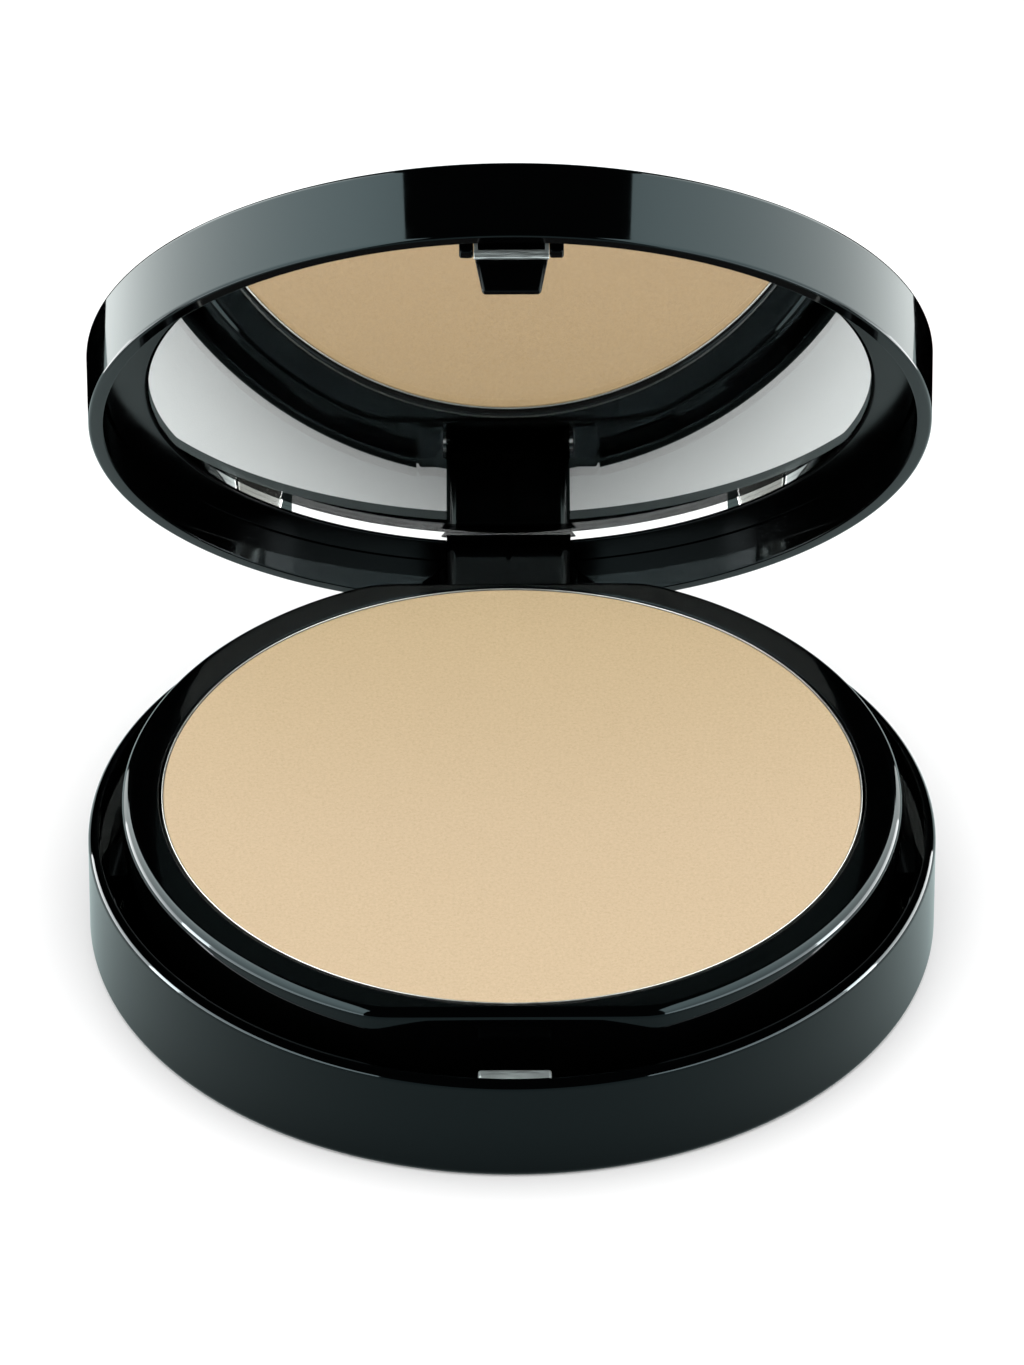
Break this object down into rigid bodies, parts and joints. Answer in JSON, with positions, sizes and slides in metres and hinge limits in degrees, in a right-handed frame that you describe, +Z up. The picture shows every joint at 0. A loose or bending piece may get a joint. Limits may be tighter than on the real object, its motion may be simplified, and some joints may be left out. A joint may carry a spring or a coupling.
{
  "type": "powder compact",
  "caption": "Round black makeup compact with a mirror in its hinged lid, a pressed powder pan on a raised platform and a snap catch at the front.",
  "frame": {"origin": "centre of the base's flat underside, where the compact rests", "axes": "+Z up out of the base, +Y from the catch to the hinge, +X along the hinge pin"},
  "size_m": [0.0724, 0.0818, 0.0702],
  "materials": {
    "case_black": "high gloss moulded black",
    "frame_black": "gloss moulded black",
    "pan_aluminium": "stamped bright aluminium",
    "powder_beige": "pressed powder, soft matte with a fine satin grain",
    "bright_trim": "brushed bright metal",
    "pin_steel": "drawn steel wire",
    "mirror_glass": "clear polished glass",
    "mirror_silver": "silvered",
    "tape_white": "white double-sided foam tape",
    "glue_clear": "dried clear adhesive",
    "label_grey": "blank satin label"
  },
  "bodies": {
    "base": {"base_shell": "case_black", "base_label": "label_grey", "pan_platform": "case_black", "powder_pan": "pan_aluminium", "pressed_powder": "powder_beige", "pan_adhesive": "glue_clear", "strike_plate": "bright_trim", "hinge_pin": "pin_steel"},
    "lid": {"lid_shell": "case_black", "mirror_frame": "frame_black", "mirror_glass": "mirror_glass", "mirror_silver": "mirror_silver", "mirror_tape": "tape_white", "lid_hook": "frame_black", "hook_trim": "bright_trim"}
  },
  "joints": [
    {"name": "lid_hinge", "type": "hinge", "parent": "base", "child": "lid", "pos_m": [0, 0.033, 0.0036], "axis": [-1, 0, 0], "range_deg": [-60.7, 30.3]}
  ]
}
